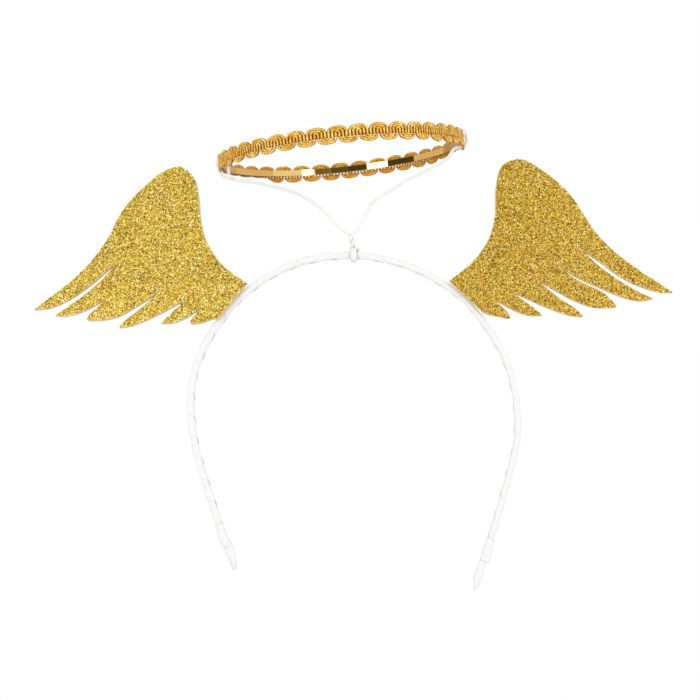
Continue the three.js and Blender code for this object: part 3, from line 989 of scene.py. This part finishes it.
def halo_braid(wire_lines):
    """Three twisted cords side by side, wound to and fro into lobes, held by two running threads."""
    profile = cord_profile()
    cords = []
    for share in CORD_REACHES:
        route = Route(cord_line(share))
        line = route.spaced(CORD_STEP)
        twist = route.length / round(route.length / PLY_LENGTH)
        cords.append(drawn(
            "cord", [line], CORD_WIDTH, closed_ends=False, profile=profile, twist=twist, slimmed=nipped,
        ))
    bundle = joined("gimp_braid", cords)
    bpy.data.objects.remove(profile)
    modified(
        bundle, "ARRAY", count=BRAID_LOBES, use_relative_offset=False, use_constant_offset=True,
        constant_offset_displace=(PITCH, 0.0, 0.0), use_merge_vertices=True, merge_threshold=0.02 * MM,
    )
    threads = []
    for height in THREAD_HEIGHTS:
        count = BRAID_LOBES * THREAD_STITCHES
        spacing = 2 * math.pi * BRAID_RADIUS / count
        steps = range(count * 4 + 1)
        line = [(k * spacing / 4, THREAD_SWING * math.sin(math.pi * k / 4), height) for k in steps]
        threads.append(drawn("thread", [line], THREAD_WIDTH, sides=8, closed_ends=False))
    braid = joined("gimp_braid", [bundle, *threads])
    wrapped_round(braid)
    merged(braid, 0.02 * MM)
    parted(braid, wire_lines, WIRE_DIAMETER / 2 + WIRE_PARTING)
    return finished(smoothed(braid, 60), braid_finish(), ["halo_braid"])


def parted(piece, lines, room):
    """Pushes the threads aside where the wire passes between them."""
    points = [Vector(p) for line in lines for p in line]
    tree = KDTree(len(points))
    for i, point in enumerate(points):
        tree.insert(point, i)
    tree.balance()
    for vertex in piece.data.vertices:
        near, _, distance = tree.find(vertex.co)
        if distance < room:
            vertex.co = near + (vertex.co - near) * (room / max(distance, 0.05 * MM))
    piece.data.update()


# Where the strip is kinked, in degrees from +X towards the rear. The flats between the kinks each
# throw back one part of the room.
KINKS = (
    12.4, 21, 31, 41, 50.9, 66.4, 77.3, 81.8, 86.3, 90.8, 95.2, 99.7, 104.2, 110.9, 119.7, 127.3, 138,
    147, 158, 169, 181, 193, 204, 217, 228, 241, 252, 264, 277, 288, 301, 313, 324, 337, 349, 360.6,
)


def halo_strip():
    """The thin mirror-gold strip inside the braid, bent into a hoop with small kinks."""
    bpy.ops.mesh.primitive_circle_add(vertices=len(KINKS), radius=STRIP_OUTER, fill_type="NOTHING")
    strip = started("mirror_strip")
    for vertex, degrees in zip(strip.data.vertices, KINKS):
        angle = math.radians(degrees)
        vertex.co = (STRIP_OUTER * math.cos(angle), STRIP_OUTER * math.sin(angle), -STRIP_HEIGHT / 2)
    edited(strip, lambda: bpy.ops.mesh.extrude_region_move(
        TRANSFORM_OT_translate={"value": (0.0, 0.0, STRIP_HEIGHT)},
    ))
    edited(strip, lambda: bpy.ops.mesh.normals_make_consistent(inside=False))
    modified(strip, "SOLIDIFY", thickness=STRIP_THICKNESS, offset=-1.0, use_even_offset=True)
    modified(strip, "BEVEL", width=0.1 * MM, segments=2, limit_method="ANGLE", angle_limit=math.radians(60))
    strip.data.transform(HALO)
    return finished(smoothed(strip, 6), mirror_finish(), ["halo_strip"])


# The wire's arms. An arm's points run from the stem's top, as shares of the halo's radius sideways and of
# its height above the stem's top. Its hook is at a bearing on the halo, and its other places are shares
# of the way across the hoop's wall, from inside, and of the way up it. The wall is taken to start this
# far under the braid's middle, in half heights. The corner leads under the hoop, and the end is the cut
# end's height inside it.
WIRE_ARMS = (
    {
        "points": (
            (-0.065, 0.055), (-0.116, 0.118), (-0.198, 0.262), (-0.302, 0.390),
            (-0.414, 0.489), (-0.576, 0.572), (-0.760, 0.636), (-0.920, 0.668),
        ),
        "hook": 172, "under": 1.20, "end": 0.16,
        "corner": ((-0.28, -0.04), (0.34, 0.04), (0.70, 0.16), (0.93, 0.36)),
    },
    {
        "points": (
            (0.045, 0.034), (0.082, 0.128), (0.124, 0.242), (0.176, 0.386), (0.250, 0.470),
            (0.330, 0.546), (0.437, 0.657), (0.545, 0.737), (0.672, 0.838), (0.784, 0.940),
        ),
        "hook": -3, "under": 0.54, "end": 0.27,
        "corner": ((-0.31, -0.19), (0.46, -0.08), (0.95, 0.11)),
    },
)
# The hook's way up the outside of the hoop, over its top and down its inside
HOOK_ROWS = ((1.00, 0.56), (0.97, 0.88), (0.63, 1.00), (0.35, 1.00), (0.00, 0.87), (0.00, 0.55))


def around_corner(half_width, share):
    """How far the wire's middle lies from the strap's on its way round, along one axis."""
    side = (share > 0.001) - (share < -0.001)
    return side * (half_width - BAND_EDGE_RADIUS) + share * (BAND_EDGE_RADIUS + WIRE_GAP + WIRE_DIAMETER / 2)


def strand_points(side, arm):
    """A strand from its cut end on top of the strap, round it, up the twisted stem and along its arm."""
    halo_radius = BRAID_RADIUS + CORD_WIDTH / 2
    centre = HALO @ Vector((0.0, 0.0, -BRAID_MIDDLE_DROP))
    foot = BAND_THICKNESS + WIRE_GAP + WIRE_DIAMETER
    top = foot + STEM_HEIGHT
    points = []
    turn_steps, stem_steps = 11, 8
    for k in range(turn_steps + 1):
        angle = math.radians(90 - 30 * k)
        x = side * (STRAND_ASIDE + CUT_END_SPLAY[side] * (1 - k / turn_steps) ** 3)
        y = around_corner(BAND_DEPTH / 2, math.cos(angle))
        z = around_corner(BAND_THICKNESS / 2, math.sin(angle))
        points.append(Vector((x, y, BAND_THICKNESS / 2 + z)))
    for k in range(stem_steps + 1):
        angle = (0.0 if side > 0 else math.pi) + 2 * math.pi * k / stem_steps
        points.append(Vector((
            STEM_LEAN * k / stem_steps + STRAND_OFFSET * math.cos(angle), STRAND_OFFSET * math.sin(angle),
            foot + STEM_HEIGHT * k / stem_steps,
        )))
    for reach, rise in arm["points"]:
        points.append(Vector((STEM_LEAN + reach * halo_radius, 0.0, top + rise * (centre.z - top))))
    gap = WIRE_GAP + WIRE_DIAMETER / 2
    inner, outer = STRIP_INNER - gap, halo_radius + gap
    low, high = -arm["under"] * BRAID_HEIGHT / 2, BRAID_HEIGHT / 2 + gap
    angle = math.radians(arm["hook"])
    for across, up in (*arm["corner"], *HOOK_ROWS, (0.00, arm["end"])):
        radius = inner + (outer - inner) * across
        points.append(HALO @ Vector((
            radius * math.cos(angle), radius * math.sin(angle), low + (high - low) * up - BRAID_MIDDLE_DROP,
        )))
    return points


def halo_wire(lines):
    """Both strands of coated wire."""
    wire = drawn("wire_fork", lines, WIRE_DIAMETER, sides=16)
    return finished(wire, wire_finish(), ["halo_wire"])


# The studio

def floor():
    """A pale floor under the headband, which fades into the room's white."""
    bpy.ops.mesh.primitive_plane_add(size=8)
    ground = started("floor")
    ground.location.z = cad_box[0].z - FLOOR_DROP
    finish = Finish("pale_floor", roughness=0.9, specular_ior_level=0.0, emission_strength=1.0)
    away = finish.node("ShaderNodeVectorMath", {"operation": "LENGTH"}, {0: finish.place()})["Value"]
    near, far = FLOOR_FADE
    finish.drive(
        base_color=finish.ramp(away, (near, (0.85, 0.85, 0.85)), (far, (0.0, 0.0, 0.0))),
        emission_color=finish.ramp(away, (near, (0.0, 0.0, 0.0)), (far, (1.0, 1.0, 1.0))),
    )
    ground.data.materials.append(finish.material)


def aimed(thing, bearing, rise, distance):
    """Stands a light or card at this bearing from the camera's side, facing the halo."""
    a, e = math.radians(bearing), math.radians(rise)
    away = Vector((math.sin(a) * math.cos(e), -math.cos(a) * math.cos(e), math.sin(e)))
    thing.location = away * distance + Vector((0.0, 0.0, 30 * MM))
    thing.rotation_euler = away.to_track_quat("Z", "Y").to_euler()


def softbox(name, bearing, rise, width, height, brightness):
    bpy.ops.object.light_add(type="AREA")
    light = bpy.context.object
    light.name = name
    light.data.shape = "RECTANGLE"
    light.data.size, light.data.size_y = width, height
    light.data.energy = brightness * math.pi * width * height
    light.visible_camera = False
    aimed(light, bearing, rise, 1.5)


def card(name, bearing, rise, width, height, colour):
    """A card beside the lights, which shows only in glossy surfaces."""
    bpy.ops.mesh.primitive_plane_add(size=1)
    piece = started(name)
    piece.scale = (width, height, 1)
    aimed(piece, bearing, rise, 1.6)
    piece.visible_camera = piece.visible_diffuse = piece.visible_shadow = False
    piece.visible_transmission = False
    piece.data.materials.append(Finish(
        name, base_color=(0, 0, 0, 1), specular_ior_level=0.0,
        emission_color=(*colour, 1), emission_strength=1.0,
    ).material)


def studio():
    world = bpy.data.worlds.new("white_room")
    bpy.context.scene.world = world
    world.use_nodes = True
    background = world.node_tree.nodes["Background"]
    background.inputs["Color"].default_value = (1.0, 1.0, 1.0, 1.0)
    background.inputs["Strength"].default_value = 1.0
    floor()
    softbox("softbox_right", 35, 13, 0.30, 0.62, 8.0)
    softbox("softbox_left", -36, 12, 0.30, 0.62, 8.0)
    for name, bearing, width, colour in (
        ("dark_card_left", -15.5, 0.46, (0.10, 0.09, 0.07)),
        ("dark_card_middle", 2, 0.50, (0.16, 0.145, 0.10)),
        ("dark_card_right", 19.5, 0.44, (0.255, 0.225, 0.175)),
        ("dark_card_side", -62.5, 0.58, (0.10, 0.09, 0.07)),
        ("pale_card", 59, 0.80, (1.26, 1.42, 1.65)),
    ):
        card(name, bearing, 12, width, 0.8, colour)
    bpy.context.scene.view_settings.view_transform = "Standard"


def camera():
    bpy.ops.object.camera_add(location=CAMERA_PLACE, rotation=(math.pi / 2, 0.0, 0.0))
    eye = bpy.context.object
    eye.name = "camera"
    eye.data.sensor_width = SENSOR_WIDTH
    eye.data.lens = SENSOR_WIDTH * -CAMERA_PLACE.y / VIEW_WIDTH
    eye.data.clip_start, eye.data.clip_end = 0.01, 20.0
    bpy.context.scene.camera = eye


bpy.ops.object.select_all(action="DESELECT")
camera()
studio()

strap = strap_route()
strap_core(strap)
ribbon_wrap(strap)
for side in ("left", "right"):
    tip_fold(side, strap)
    tip_cuff(side, strap)

for seed, side in enumerate(("left", "right"), start=11):
    wing_glitter(side, wing_plate(side), seed)

wire_lines = [Route(strand_points(side, arm)).spaced(0.4 * MM) for side, arm in zip((-1, 1), WIRE_ARMS)]
halo_wire(wire_lines)
halo_braid(wire_lines)
halo_strip()
